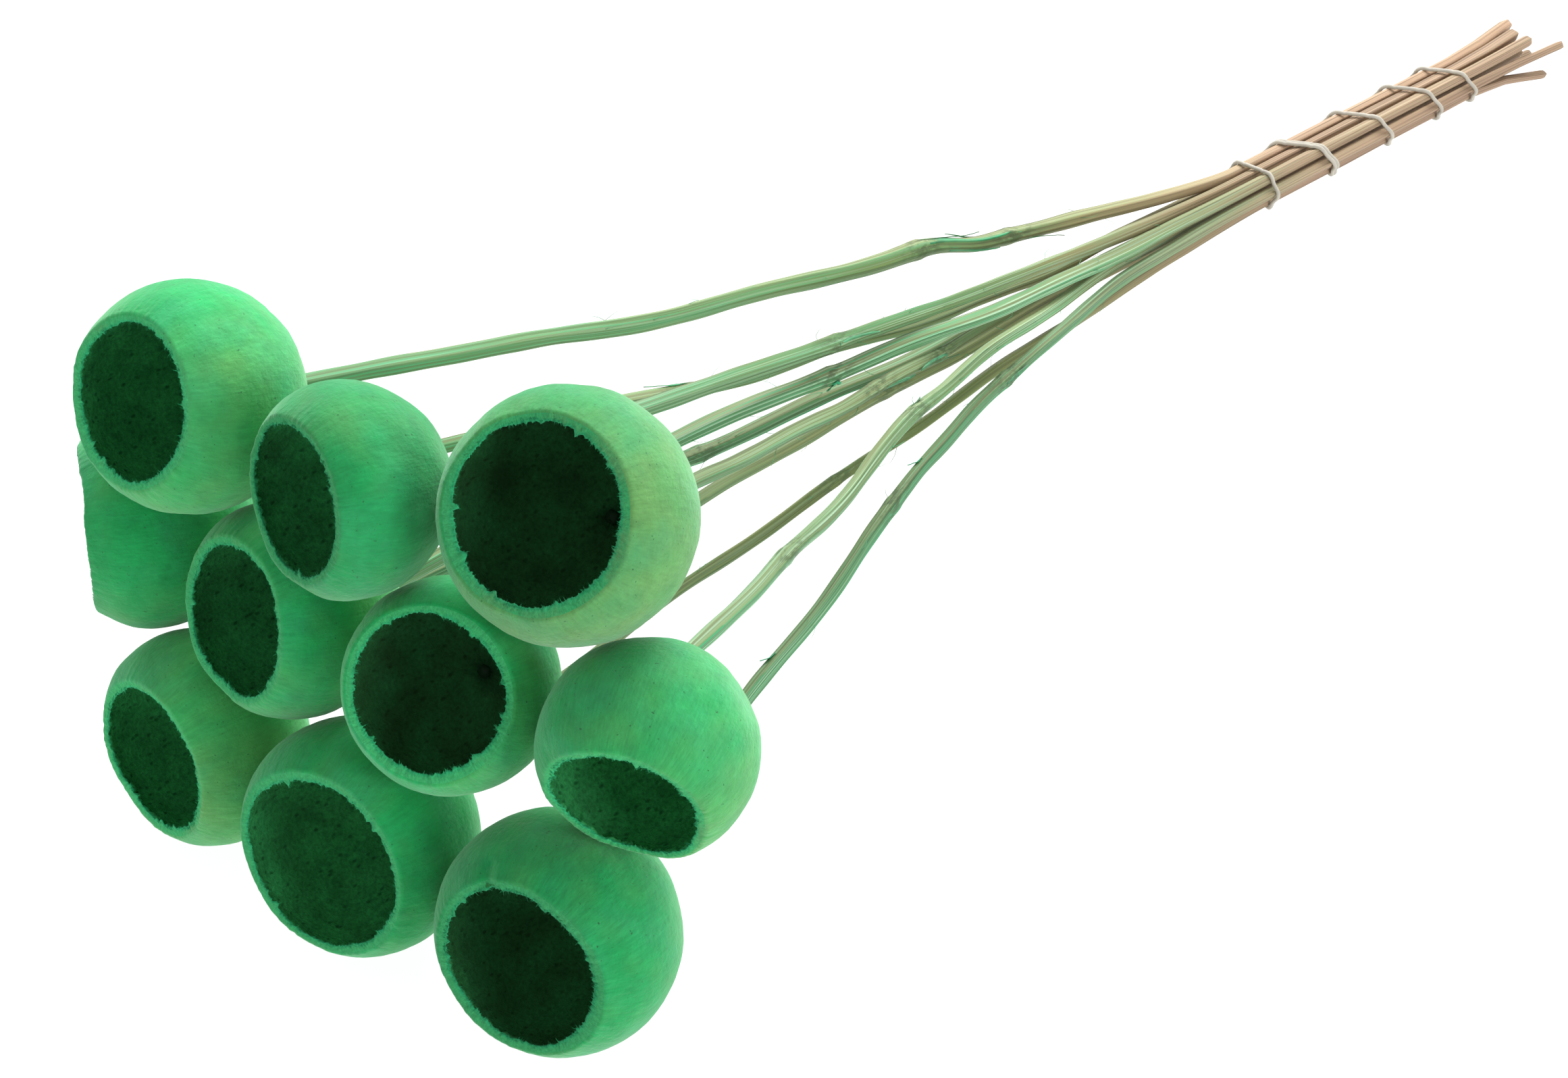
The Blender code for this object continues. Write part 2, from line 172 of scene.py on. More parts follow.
SPLINTERS = (
    (1, 186, 22, 125, 0.75, 0.9), (1, 189, 27, 60, 0.6, 0.35), (1, 214, -17, 150, 0.45, 1.1),
    (1, 219, 15, -35, 0.3, 1.4), (1, 196, 16, -20, 0.6, 0.6), (2, 104, -12, 110, 0.6, 0.8),
    (3, 131, 14, 20, 0.5, 0.5), (4, 126, -3, -45, 1.3, 0.9), (4, 124, 2.5, -30, 1.0, 0.5),
    (5, 128, 10, -10, 0.7, 0.7), (5, 156, -13, 10, 0.8, 0.9), (5, 152, 11, -50, 0.5, 1.3),
    (6, 158, 9, 60, 0.5, 0.6), (7, 127, 6, 135, 0.6, 0.5), (10, 71, -4, 140, 1.0, 1.2),
    (10, 141, -4, 140, 0.8, 1.1), (10, 178, 9, 20, 0.7, 0.9),
)

# Elastic
BAND_WRAPS = np.array([310, 334, 362, 387, 405]) * MM
BAND_ADVANCE = 13 * MM
BAND_FRONT_ANGLE = np.radians(48)
BAND_STEPS = 72              # to a turn
BAND_EASE = 6                # steps on each side over which its lead is evened
BAND_GAP = 0.08 * MM         # between it and the stems
# Its strands: first and last turn, and how far along from the first strand
STRANDS = ((-0.5, 4.55, 0.0), (0.62, 1.4, 1.15 * MM))

# First seeds of the random draws, each for its own kind of piece
SHELL_SEED, PATH_SEED, REED_SEED, HAIR_SEED, FIBRE_SEED = 500, 600, 700, 800, 900

# The camera of the photograph, in the bunch's own frame
CAMERA_PLACE = np.array([415.9, -344.7, 501.3]) * MM
CAMERA_TURN, CAMERA_DROP, CAMERA_ROLL = 41.53, 37.57, -0.79     # in degrees
CAMERA_FOCUS_PX = 5111.3
IMAGE_WIDTH_PX = 2322
SENSOR = 36.0                # in millimetres, as its lens is

# Stage: each light's place from the bunch, its size, and its power in watts
FLOOR_SPAN = 6.0
WHITE = (1.0, 1.0, 1.0)
LIGHTS = {"key_light": ((-0.35, 0.75, 0.9), 0.9, 22.0), "side_light": ((1.2, 0.1, 0.3), 0.7, 9.0)}


def srgb(code):
    """Linear red, green and blue of an sRGB hex colour such as #6FBF73."""
    channels = np.array([int(code[i:i + 2], 16) for i in (1, 3, 5)]) / 255
    low = channels / 12.92
    high = ((channels + 0.055) / 1.055) ** 2.4
    return tuple(np.where(channels <= 0.04045, low, high).tolist())


def colour_property(name, description, code):
    return FloatVectorProperty(name=name, description=description, subtype="COLOR",
                               size=3, min=0.0, max=1.0, default=srgb(code))


def length_property(name, description, default, top, least=0.0):
    return FloatProperty(name=name, description=description, default=default * MM,
                         min=least * MM, max=top * MM, unit="LENGTH")


class PodCupSettings(bpy.types.PropertyGroup):
    """Sizes and colours of the cups."""
    husk: colour_property("Husk", "Dyed outer face", "#20A158")
    husk_warm: colour_property("Warm husk", "Where less blue has taken", "#6A9B58")
    rim: colour_property("Cut rim", "Sawn edge of the husk", "#3FAC6A")
    torn: colour_property("Torn edge", "Fibres that soak up most dye", "#2CAA70")
    lining: colour_property("Lining", "Fibrous inside", "#45B068")
    tear: length_property("Tear", "How far the torn inner edge stands in", 0.4, 3)
    hair: length_property("Hair", "Longest loose fibre at the rim", 1.2, 5)


class PodStemSettings(bpy.types.PropertyGroup):
    """Sizes and colours of the stems."""
    green: colour_property("Green reed", "Dyed reed near the cups", "#5C9161")
    # Painted light: the paler khaki on the upper side of each reed
    olive: colour_property("Olive reed", "Reed with a thin dye", "#6A7A46")
    faded: colour_property("Faded reed", "The side where the dye has faded", "#93996C")
    tan: colour_property("Tan reed", "Bare reed at the tie", "#A98D74")
    rib: length_property("Rib", "Height of the reed's ribs", 0.07, 0.5)


class PodBandSettings(bpy.types.PropertyGroup):
    """Size and colour of the elastic."""
    colour: colour_property("Elastic", "Off-white elastic", "#BDB8AC")
    radius: length_property("Radius", "Half the elastic's thickness", 0.53, 2, 0.1)


class PodStageSettings(bpy.types.PropertyGroup):
    """Floor and light."""
    floor: colour_property("Floor", "Plain pale floor", "#7C7C7A")
    glow: FloatProperty(name="Glow", description="Light that comes through the floor",
                        default=0.95, min=0.0, max=10.0)
    light: FloatProperty(name="Light", description="Strength of the white surround",
                         default=0.5, min=0.0, max=10.0)


def unit(vector):
    return vector / np.linalg.norm(vector, axis=-1, keepdims=True)


def around(angle, first, second):
    """Vectors at angles from first towards second, cos a first + sin a second."""
    return np.cos(angle)[..., None] * first + np.sin(angle)[..., None] * second


def bell(distance, width):
    """A bell curve of height 1, e to the minus (distance / width) squared."""
    return np.exp(-(distance / width) ** 2)


def direction(turn, nod):
    """Unit vector turned from -Y towards +X and nodded up, in degrees."""
    turn, nod = np.radians([turn, nod])
    return np.array([np.sin(turn) * np.cos(nod), -np.cos(turn) * np.cos(nod), np.sin(nod)])


def rest_between(a, b, y, side):
    """Centre of a cup that touches two others, each given as centre and
    distance between centres. Seen along Y it is where two circles cross."""
    (centre_a, reach_a), (centre_b, reach_b) = a, b
    reach_a = np.sqrt(reach_a ** 2 - (y - centre_a[1]) ** 2)
    reach_b = np.sqrt(reach_b ** 2 - (y - centre_b[1]) ** 2)
    across = (centre_b - centre_a)[[0, 2]]
    span = np.linalg.norm(across)
    across = across / span
    along = (reach_a ** 2 - reach_b ** 2 + span ** 2) / (2 * span)
    off = np.sqrt(reach_a ** 2 - along ** 2) * np.array([-across[1], across[0]])
    foot = centre_a[[0, 2]] + across * along
    score = {"above": lambda p: p[1], "right": lambda p: p[0], "left": lambda p: -p[0]}
    best = max((foot + off, foot - off), key=score[side])
    return np.array([best[0], y, best[1]])


def place_cups():
    """Centres of the cups: a bottom row side by side on the ground, and each
    higher cup at rest between two lower ones."""
    centres = {}
    last, last_reach = None, 0.0
    for number in (10, 9, 8):
        reach, y = CUPS[number].diameter / 2, CUPS[number].y
        x, z = FIRST_CUP_X, reach - RESTING_FLAT
        if last is not None:
            step = (last_reach + reach + TOUCH) ** 2
            x = last[0] - np.sqrt(step - (y - last[1]) ** 2 - (z - last[2]) ** 2)
        last, last_reach = np.array([x, y, z]), reach
        centres[number] = last
    for number, first, second, side, *gaps in RESTS:
        reach = CUPS[number].diameter / 2
        pair = [(centres[other], CUPS[other].diameter / 2 + reach + gap)
                for other, gap in zip((first, second), gaps)]
        centres[number] = rest_between(*pair, CUPS[number].y, side)
    return centres


def waves(angle, low, high, fall, rng):
    """A closed random wave round a ring: the sum of cos(n angle + phase) over
    whole n from low to high, each weighted n^-fall, scaled to a spread of 1."""
    n = np.arange(low, high + 1)
    weight = n ** -float(fall)
    weight /= np.sqrt((weight ** 2).sum() / 2)
    phase = rng.uniform(0, TAU, n.size)
    return np.tensordot(weight, np.cos(np.multiply.outer(n, angle)
                                       + phase.reshape((-1,) + (1,) * np.ndim(angle))), 1)


def lumps(points, size, rng, count=20):
    """Soft random relief at points: the sum of count plane waves of random
    direction and phase, about size long, scaled to a spread of 1."""
    heading = unit(rng.normal(size=(count, 3))) * rng.uniform(0.6, 1.5, (count, 1))
    phase = rng.uniform(0, TAU, count)
    return np.cos(points @ (heading.T * TAU / size) + phase).sum(-1) / np.sqrt(count / 2)


def ease(value):
    """Smooth step from 0 to 1."""
    value = np.clip(value, 0, 1)
    return value * value * (3 - 2 * value)


def nearest_row(value, table):
    """Which entry of a rising table each value is nearest to."""
    return np.interp(value, table, np.arange(len(table))).round().astype(int)


def grid_faces(rows, columns, closed_rows=False):
    """Quads between neighbours of a grid whose columns close on themselves."""
    row = np.arange(rows if closed_rows else rows - 1)[:, None]
    column = np.arange(columns)[None, :]
    next_row = (row + 1) % rows
    next_column = (column + 1) % columns
    corners = (row * columns + column, row * columns + next_column,
               next_row * columns + next_column, next_row * columns + column)
    return np.stack(corners, axis=-1).reshape(-1, 4)


def joined(parts):
    """Several (points, quads, triangles) sets as one."""
    points, quads, triangles = [], [], []
    base = 0
    for part in parts:
        points.append(part[0])
        quads.append(part[1] + base)
        triangles.append(part[2] + base)
        base += len(part[0])
    return np.concatenate(points), np.concatenate(quads), np.concatenate(triangles)


def make_mesh(name, materials, points, quads, triangles=(), face_slots=0, smooth=True):
    """A mesh object at the origin from arrays of points, quads and triangles,
    with its materials and which of them each face has."""
    mesh = bpy.data.meshes.new(name)
    corners = np.concatenate([quads.reshape(-1), np.reshape(triangles, -1)])
    size = np.repeat([4, 3], [len(quads), len(triangles)])
    mesh.vertices.add(len(points))
    mesh.vertices.foreach_set("co", points.astype(np.float32).reshape(-1))
    mesh.loops.add(len(corners))
    mesh.loops.foreach_set("vertex_index", corners.astype(np.int32))
    mesh.polygons.add(len(size))
    starts = np.concatenate([[0], np.cumsum(size)[:-1]])
    mesh.polygons.foreach_set("loop_start", starts.astype(np.int32))
    mesh.update(calc_edges=True)
    mesh.polygons.foreach_set("use_smooth", np.full(len(size), smooth))
    for material in materials:
        mesh.materials.append(material)
    mesh.polygons.foreach_set("material_index", np.full(len(size), face_slots, dtype=np.int32))
    piece = bpy.data.objects.new(name, mesh)
    bpy.context.scene.collection.objects.link(piece)
    return piece


def set_attributes(piece, **values):
    """Values or vectors of the points, or one value for all of them, for the
    material to read."""
    count = len(piece.data.vertices)
    for name, value in values.items():
        kind, field, shape = "FLOAT", "value", count
        if np.ndim(value) == 2:
            kind, field, shape = "FLOAT_VECTOR", "vector", (count, 3)
        attribute = piece.data.attributes.new(name, kind, "POINT")
        attribute.data.foreach_set(field, np.full(shape, value, dtype=np.float32).reshape(-1))


def settle(piece, slot, *nodes):
    """Rides the piece on the bunch's one body, in place of its solids."""
    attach(piece, "root")
    if nodes:
        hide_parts(*nodes)


MIX = {"data_type": "RGBA"}
MULTIPLY = {"data_type": "RGBA", "blend_type": "MULTIPLY"}


def fill(item, inputs):
    """Gives a node's inputs their constants, or links other nodes' outputs to
    them. A constant colour is red, green and blue."""
    for key, value in inputs.items():
        socket = item.inputs[key]
        if isinstance(value, bpy.types.NodeSocket):
            item.id_data.links.new(value, socket)
        elif socket.type == "RGBA":
            socket.default_value = (*value, 1.0)
        else:
            socket.default_value = value


def node(tree, kind, inputs, output=0, stops=(), **settings):
    """Adds a shader node with its inputs and settings, and gives one of its
    outputs. Stops are a colour ramp's places and greys."""
    item = tree.nodes.new("ShaderNode" + kind)
    for key, value in settings.items():
        setattr(item, key, value)
    for i, (place, grey) in enumerate(stops):
        points = item.color_ramp.elements
        point = points[i] if i < len(points) else points.new(place)
        point.position = place
        point.color = (grey, grey, grey, 1.0)
    fill(item, inputs)
    return item.outputs[output]


def new_material(name, *attributes):
    """A material with its node tree and shader, its Object coordinates, and
    what its nodes read from the piece's own attributes."""
    material = bpy.data.materials.new(name)
    material.use_nodes = True
    tree = material.node_tree
    given = [node(tree, "Attribute", {}, "Vector" if key == "grain" else "Fac", attribute_name=key)
             for key in attributes]
    shader = tree.nodes["Principled BSDF"]
    return (material, tree, shader, node(tree, "TexCoord", {}, "Object"), *given)


def grains(tree, vector, size, detail=3.0, rough=0.5):
    """A random pattern over a vector in metres. The size of its grains is in
    millimetres, one for all directions or one along each part of the vector."""
    scale = (1 / (np.broadcast_to(size, 3) * MM)).tolist()
    place = node(tree, "Mapping", {"Vector": vector, "Scale": scale})
    return node(tree, "TexNoise", {"Vector": place, "Scale": 1.0, "Detail": detail,
                                   "Roughness": rough})


def layered(tree, base, *layers):
    """A colour, or a pattern of heights, after each layer over it. A layer is
    a mask, the stops of a ramp over the mask if it has one, what it brings,
    and what else holds it back. One that brings nothing darkens and lightens."""
    for mask, stops, brought, *limits in layers:
        share = node(tree, "ValToRGB", {0: mask}, stops=stops) if stops else mask
        for limit in limits:
            share = node(tree, "Mix", {0: 1.0, 6: share, 7: limit}, 2, **MULTIPLY)
        if brought is None:
            base = node(tree, "Mix", {0: 1.0, 6: base, 7: share}, 2, **MULTIPLY)
        else:
            base = node(tree, "Mix", {0: share, 6: base, 7: brought}, 2, **MIX)
    return base


def finish_surface(shader, colour, roughness, specular, height, depth, strength):
    """Gives a shader its colour and gloss, and bumps up to depth in metres
    from a pattern of heights."""
    bump = node(shader.id_data, "Bump", {"Height": height, "Distance": depth, "Strength": strength})
    fill(shader, {"Base Color": colour, "Roughness": roughness, "Specular IOR Level": specular,
                  "Metallic": 0.0, "Normal": bump})


def husk_material(cups):
    """Dried fruit husk, dip dyed: a chalky skin with no gloss, in which the
    dye has taken unevenly, over fine fibres that run from stem to mouth, with
    a darker creased scar of about 4 mm round the stem."""
    material, tree, shader, place, grain, warm, pole, tone = new_material(
        "dip dyed dry husk", "grain", "warm", "pole", "tone")
    fibres = grains(tree, grain, (0.632, 0.632, 3.33), 4.0, 0.68)
    creases = grains(tree, grain, (6, 6, 10), 3.0, 0.6)
    scar = layered(tree, pole, (0.35, None, creases))
    colour = layered(
        tree, cups.husk,
        (warm, ((0.0, 0.0), (1.0, 1.0)), cups.husk_warm),
        (grains(tree, place, 14, 3.0, 0.55), ((0.45, 0.0), (0.7, 0.45)), srgb("#36A26E")),
        (grains(tree, place, 4.5, 5.0, 0.62), ((0.3, 0.86), (0.7, 1.1)), None),
        (fibres, ((0.3, 0.864), (0.7, 1.085)), None),
        (grains(tree, place, 0.75, 1.0), ((0.72, 0.0), (0.78, 0.8)), srgb("#2B5C3C")),
        (scar, ((0.2, 0.8), (0.42, 0.0)), srgb("#2C6340")),
        (tone, None, None))
    relief = layered(tree, grains(tree, place, 2.4, 4.0, 0.6), (0.35, None, fibres),
                     (0.35, None, grains(tree, place, 1.1, 2.0)))
    finish_surface(shader, colour, 0.92, 0.15, relief, 0.5 * MM, 0.85)
    fill(shader, {"Sheen Weight": 0.42, "Sheen Roughness": 0.5, "Sheen Tint": srgb("#D8FFE2")})
    return material


def rim_material(cups):
    """The husk's sawn edge: torn, fluffy fibres across the wall, in places
    brown where the dye has not gone into the wood, and brightest at the torn
    inner edge, which soaks up most dye."""
    material, tree, shader, place, grain, warm, edge, tone = new_material(
        "sawn husk fibre", "grain", "warm", "edge", "tone")
    brown = node(tree, "Math", {0: warm, 1: 0.4, 2: grains(tree, place, 7)},
                 operation="MULTIPLY_ADD")
    fibres = grains(tree, grain, (0.343, 0.343, 1.25), 4.0, 0.7)
    rough = layered(tree, fibres, (0.5, None, grains(tree, place, 0.6, 3.0, 0.7)))
    edge = layered(tree, edge, (0.35, None, grains(tree, place, 2.5, 2.0)))
    colour = layered(
        tree, cups.rim,
        (brown, ((0.66, 0.0), (0.98, 0.6)), srgb("#6E8C5C")),
        (edge, ((0.5, 0.0), (0.8, 0.9)), cups.torn),
        (rough, ((0.36, 0.72), (0.62, 1.15)), None),
        (tone, None, None))
    finish_surface(shader, colour, 0.95, 0.1, rough, 0.3 * MM, 0.8)
    fill(shader, {"Sheen Weight": 0.08})
    return material


def lining_material(cups):
    """The inside: a dark matted felt of short fibres, with small pits and a
    lighter fuzz where it is thick."""
    material, tree, shader, place, soak = new_material("matted pod lining", "soak")
    felt = grains(tree, place, 0.9, 5.0, 0.75)
    drawn_out = node(tree, "Mapping", {"Vector": place, "Scale": (1.0, 0.6, 1.0)})
    pits = node(tree, "TexVoronoi", {"Vector": drawn_out, "Scale": 1 / (1.9 * MM),
                                     "Randomness": 1.0}, "Distance")
    colour = layered(
        tree, cups.lining,
        (felt, ((0.3, 0.55), (0.7, 1.35)), None),
        (grains(tree, place, 6, 3.0, 0.6), ((0.3, 0.75), (0.7, 1.2)), None),
        (pits, ((0.10, 0.45), (0.26, 1.0)), None),
        # Painted shade: the lining is painted darker, towards a near-black olive, where the attribute
        # read above is low, most in cups 5, 6 and 10
        (soak, ((0.0, 0.85), (1.0, 0.0)), srgb("#304226")))
    relief = layered(tree, felt, (pits, ((0.10, 0.67), (0.26, 1.0)), None))
    finish_surface(shader, colour, 1.0, 0.04, relief, 0.5 * MM, 0.9)
    return material


def reed_material(stems):
    """Split reed, dip dyed at the pods' end: hard, slightly silky ribs, green
    in the dye, with a paler khaki painted on its upper side as painted light,
    pinkish tan where it is bare, and pale and dark lines between the ribs. The real
    lines are 0.2 mm wide, and these are about twice that, so that they still show."""
    material, tree, shader, _, grain, along, dye, faded, stripes, tone, torn, knot = new_material(
        "split reed", "grain", "along", "dye", "faded", "stripes", "tone", "torn", "knot")
    lines = grains(tree, grain, (0.515, 0.515, 125), 4.0, 0.68)
    threads = grains(tree, grain, (0.35, 0.35, 100), 2.0, 0.7)
    broad = grains(tree, grain, (1.46, 1.46, 45.45), 3.0, 0.6)
    blotches = grains(tree, grain, (1.17, 1.17, 3.03), 3.0, 0.6)
    wet = node(tree, "Math", {0: broad, 1: 0.9, 2: dye}, operation="MULTIPLY_ADD")
    wet = node(tree, "Math", {0: wet, 1: along}, operation="SUBTRACT")
    unbound = layered(tree, WHITE, (along, ((0.5, 1.0), (0.72, 0.14)), None))
    green = layered(tree, unbound, (wet, ((0.15, 0.0), (0.75, 1.0)), None))
    colour = layered(
        tree, stems.olive,
        (along, ((0.42, 0.0), (0.72, 1.0)), stems.tan),
        (green, None, stems.green),
        # Painted light: a paler khaki on each reed's upper side, less in the tie
        (faded, ((0.35, 0.0), (0.9, 0.75)), stems.faded, unbound),
        (lines, ((0.5, 0.0), (0.6, 0.75)), srgb("#2E9668"), green),
        (threads, ((0.53, 0.0), (0.6, 0.9)), srgb("#A9CCA9"), stripes, unbound),
        (lines, ((0.32, 0.42), (0.5, 0.95), (0.68, 1.3)), None),
        (tone, None, None),
        (torn, None, srgb("#3CA878"), green),
        (blotches, ((0.44, 0.0), (0.58, 0.75)), srgb("#46583A"), knot),
        # Painted shade: the reed's tip, where it stands in the cup and runs through its wall, is
        # painted near-black green
        (along, ((0.0075, 1.0), (0.0105, 0.0)), srgb("#1A3A20")))
    relief = layered(tree, lines, (0.4, None, threads))
    finish_surface(shader, colour, 0.62, 0.3, relief, 0.16 * MM, 0.7)
    return material


def elastic_material(band):
    """Covered elastic: a dull, off-white round cord with a fine wound cover."""
    material, tree, shader, place = new_material("covered elastic cord")
    colour = layered(tree, band.colour,
                     (grains(tree, place, 4, 4.0), ((0.3, 0.82), (0.7, 1.06)), None))
    finish_surface(shader, colour, 0.75, 0.25, grains(tree, place, 0.4, 2.0), 0.06 * MM, 0.5)
    return material


def cup_axes(number):
    """Across, side and out of a cup's mouth, as unit vectors."""
    out = direction(CUPS[number].turn, CUPS[number].nod)
    across = unit(np.cross(UP, out))
    return across, np.cross(out, across), out


class CupShape:
    """What a cup's shell and its loose fibres share: how the rim waves and how
    far its torn edge stands in, each a function of the angle round the mouth."""

    def __init__(self, number, tear):
        self.cup = cup = CUPS[number]
        self.rng = rng = np.random.default_rng(SHELL_SEED + number)
        self.angle = angle = np.arange(CUP_AROUND) * TAU / CUP_AROUND
        self.reach = cup.diameter / 2 - SKIN_DEPTH
        self.rim_angle = np.pi - np.arcsin(cup.mouth)
        self.top = -cup.front * self.reach * np.cos(self.rim_angle)
        self.wave = RIM_WAVE * waves(angle, 2, 6, 1.0, rng)
        self.wave += RIM_RIPPLE * waves(angle, 9, 90, 0.5, rng)
        self.wave -= self.wave.max()
        self.wall = cup.wall * (1 + 0.13 * waves(angle, 1, 4, 0.7, rng))
        ragged = ease(0.5 + 0.5 * waves(angle, 3, 11, 0.3, rng))
        coarse = np.maximum(waves(angle, 9, 50, 0.2, rng) + 0.1, 0)
        fine = np.maximum(waves(angle, 60, 200, 0.0, rng), 0)
        self.torn = tear * (0.3 + 0.5 * ragged + (0.35 + 0.65 * ragged)
                            * (0.7 * coarse ** 1.5 + 0.55 * fine))
        tall = cup.front * self.reach - self.wall
        self.wall_radius = (self.reach - self.wall) * np.sqrt(1 - (self.top / tall) ** 2)

    def curve(self, a, wall=0.0):
        """Radius and height at an angle a from the stem, a wall inside the
        skin: a circle behind, and in front an ellipse that is flattened
        towards the mouth."""
        tall = np.where(a > np.pi / 2, self.cup.front, 1.0) * self.reach - wall
        return (self.reach - wall) * np.sin(a), -tall * np.cos(a)

    def edge(self):
        """Radius and height of the torn inner edge, at each angle."""
        return self.wall_radius - self.torn, self.top + self.wave - TORN_DROP


def steps(count):
    """Even steps from just past 0 to 1, one to a row."""
    return np.linspace(0, 1, count + 1)[1:, None]


def cup_points(number, centre, shape):
    """The shell's grid of points, row by row round the mouth's axis: the skin
    from the stem's hole to the rim, a bevel that is a parabola between skin
    and sawn face, the face straight in to the torn edge, a lip under it, and
    the lining back to the hole, a wall's thickness inside the skin. The last
    row meets the first in the hole. Small relief is added along each point's
    direction from the middle."""
    angle, rng, wave = shape.angle, shape.rng, shape.wave
    t = np.linspace(0, 1, OUTER_ROWS)[:, None]
    first = np.arcsin(GLUED_HOLE / shape.reach)
    a = first + (shape.rim_angle - RIM_BEVEL / shape.reach - first) * t ** 0.85
    skin_r, skin_h = shape.curve(a)
    skin_h = skin_h + ease((a - shape.rim_angle + 0.35) / 0.35) * wave
    skin_r = skin_r + 0 * angle
    corner_r, corner_h = shape.curve(shape.rim_angle)
    t = steps(BEVEL_ROWS)
    bevel_r = skin_r[-1] * (1 - t) ** 2 + corner_r * 2 * t * (1 - t) + (corner_r - RIM_BEVEL) * t * t
    bevel_h = skin_h[-1] * (1 - t) ** 2 + (corner_h + wave) * (1 - (1 - t) ** 2)
    t = steps(RIM_ROWS)
    torn_r, torn_h = shape.edge()
    rim_r = bevel_r[-1] + (torn_r - bevel_r[-1]) * t
    fray = np.stack([waves(angle, 15, 160, 0.3, rng) for _ in range(RIM_ROWS)])
    rim_h = bevel_h[-1] + (torn_h - bevel_h[-1]) * t ** 2 + 0.06 * MM * fray * (0.4 + t)
    lip_r = np.stack([torn_r + 0.1 * MM, torn_r + 0.6 * shape.torn, shape.wall_radius])
    lip_h = torn_h - LIP_DROPS * (1 + 0.3 * waves(angle, 10, 90, 0.2, rng))
    t = steps(LINING_ROWS)
    wall = shape.wall + (POLE_WALL - shape.wall) * t
    start = np.arccos(-(shape.top - LIP_DROPS[-1, 0]) / (shape.cup.front * shape.reach - shape.wall))
    b = start + (np.arcsin(GLUED_HOLE / (shape.reach - POLE_WALL)) - start) * t
    lining_r, lining_h = shape.curve(b, wall)
    radius = np.concatenate([skin_r, bevel_r, rim_r, lip_r, lining_r])
    height = np.concatenate([skin_h, bevel_h, rim_h, lip_h, lining_h])
    across, side, out = cup_axes(number)
    ring = around(angle, across, side)
    points = radius[..., None] * ring + height[..., None] * out
    outer = OUTER_ROWS + BEVEL_ROWS
    inside = outer + RIM_ROWS + len(LIP_DROPS) - 1
    depth = np.zeros(radius.shape)
    for dent, width in SKIN_DENTS:
        depth[:outer] -= dent * np.maximum(1 + lumps(points[:outer], width, rng), 0)
    depth[outer:inside] = depth[outer - 1]
    bump, width = LINING_BUMPS
    depth[inside:] = bump * lumps(points[inside:], width, rng)
    depth[inside:] += LINING_GRIT * rng.normal(size=depth[inside:].shape)
    if number == NOTCHED_CUP:
        notch = chip(angle, NOTCH_ANGLE, NOTCH_WIDTH) * NOTCH_DEPTH
        points[OUTER_ROWS - 3:inside] -= notch[:, None] * out
    points = points + unit(points) * depth[..., None] + centre
    points[..., 2] = np.maximum(points[..., 2], 0.0)
    return points, outer, inside


def chip(angle, at, width):
    """A smooth dip of depth 1 round an angle."""
    return bell(np.angle(np.exp(1j * (angle - at))), width)


def add_cup(number, centre, materials, cups):
    """One cup's shell, with what its materials read at each point."""
    shape = CupShape(number, cups.tear)
    points, outer, inside = cup_points(number, centre, shape)
    rows = len(points)
    row_slot = np.zeros(rows)
    row_slot[outer - 1:inside - 1] = 1
    row_slot[inside - 1:rows - 1] = 2
    piece = make_mesh(f"pod_shell_{number:02d}", materials, points.reshape(-1, 3) + BUNCH_ORIGIN,
                      grid_faces(rows, CUP_AROUND, closed_rows=True),
                      face_slots=np.repeat(row_slot, CUP_AROUND))
    flat = points.reshape(-1, 3) - centre
    warm = shape.cup.warm * (0.72 + 0.75 * flat[:, 0] / shape.reach)
    warm += 0.09 * lumps(flat, 34 * MM, shape.rng) + 0.05 * lumps(flat, 9 * MM, shape.rng)
    # How lit each cup's lining is painted, with slow random change: painted shade where it is low
    soak = shape.cup.soak + 0.08 * lumps(flat, 12 * MM, shape.rng)
    edge = np.clip((np.arange(rows) - outer + 1) / RIM_ROWS, 0, 1)
    level = np.cumsum(np.linalg.norm(np.diff(points[:, 0], axis=0, prepend=points[:1, 0]), axis=-1))
    pole = np.minimum(level / POLE_REACH, 1)
    ring = GRAIN_RADIUS * np.stack([np.cos(shape.angle), np.sin(shape.angle)], -1)
    grain = np.column_stack([np.tile(ring, (rows, 1)),
                             np.repeat(level + number * SHELL_SHIFT, CUP_AROUND)])
    set_attributes(piece, warm=warm, soak=soak, tone=shape.cup.tone, grain=grain,
                   edge=np.repeat(edge, CUP_AROUND), pole=np.repeat(pole, CUP_AROUND))
    settle(piece, "pod_shell", f"cup_{number:02d}")
    return shape


def needles(roots, tips, sag, radius, bands=3):
    """Thin three-sided fibres. Each runs from root to tip on a parabola that
    sags sideways, and its radius falls from root to tip as the square root of
    what is left. Returns points, quads and triangles."""
    count = len(roots)
    t = np.linspace(0, 1, bands + 1)[:, None, None]
    path = roots + (tips - roots) * t + sag * (4 * t * (1 - t))
    heading = unit(tips - roots)
    first = unit(np.cross(heading, heading[:, [1, 2, 0]] + 0.1))
    second = np.cross(heading, first)
    spoke = around(np.arange(3) * TAU / 3, first[:, None], second[:, None])
    thick = radius[None, :, None, None] * np.sqrt(1 - t[:-1])[..., None]
    rings = (path[:-1, :, None] + thick * spoke).transpose(1, 0, 2, 3)
    points = np.concatenate([rings.reshape(count, -1, 3), path[-1][:, None]], axis=1)
    size = points.shape[1]
    base = (np.arange(count) * size)[:, None, None]
    quads = (grid_faces(bands, 3)[None] + base).reshape(-1, 4)
    last = (bands - 1) * 3
    ends = [(last, last + 1, size - 1), (last + 1, last + 2, size - 1),
            (last + 2, last, size - 1), (2, 1, 0)]
    triangles = (np.array(ends)[None] + base).reshape(-1, 3)
    return points.reshape(-1, 3), quads, triangles


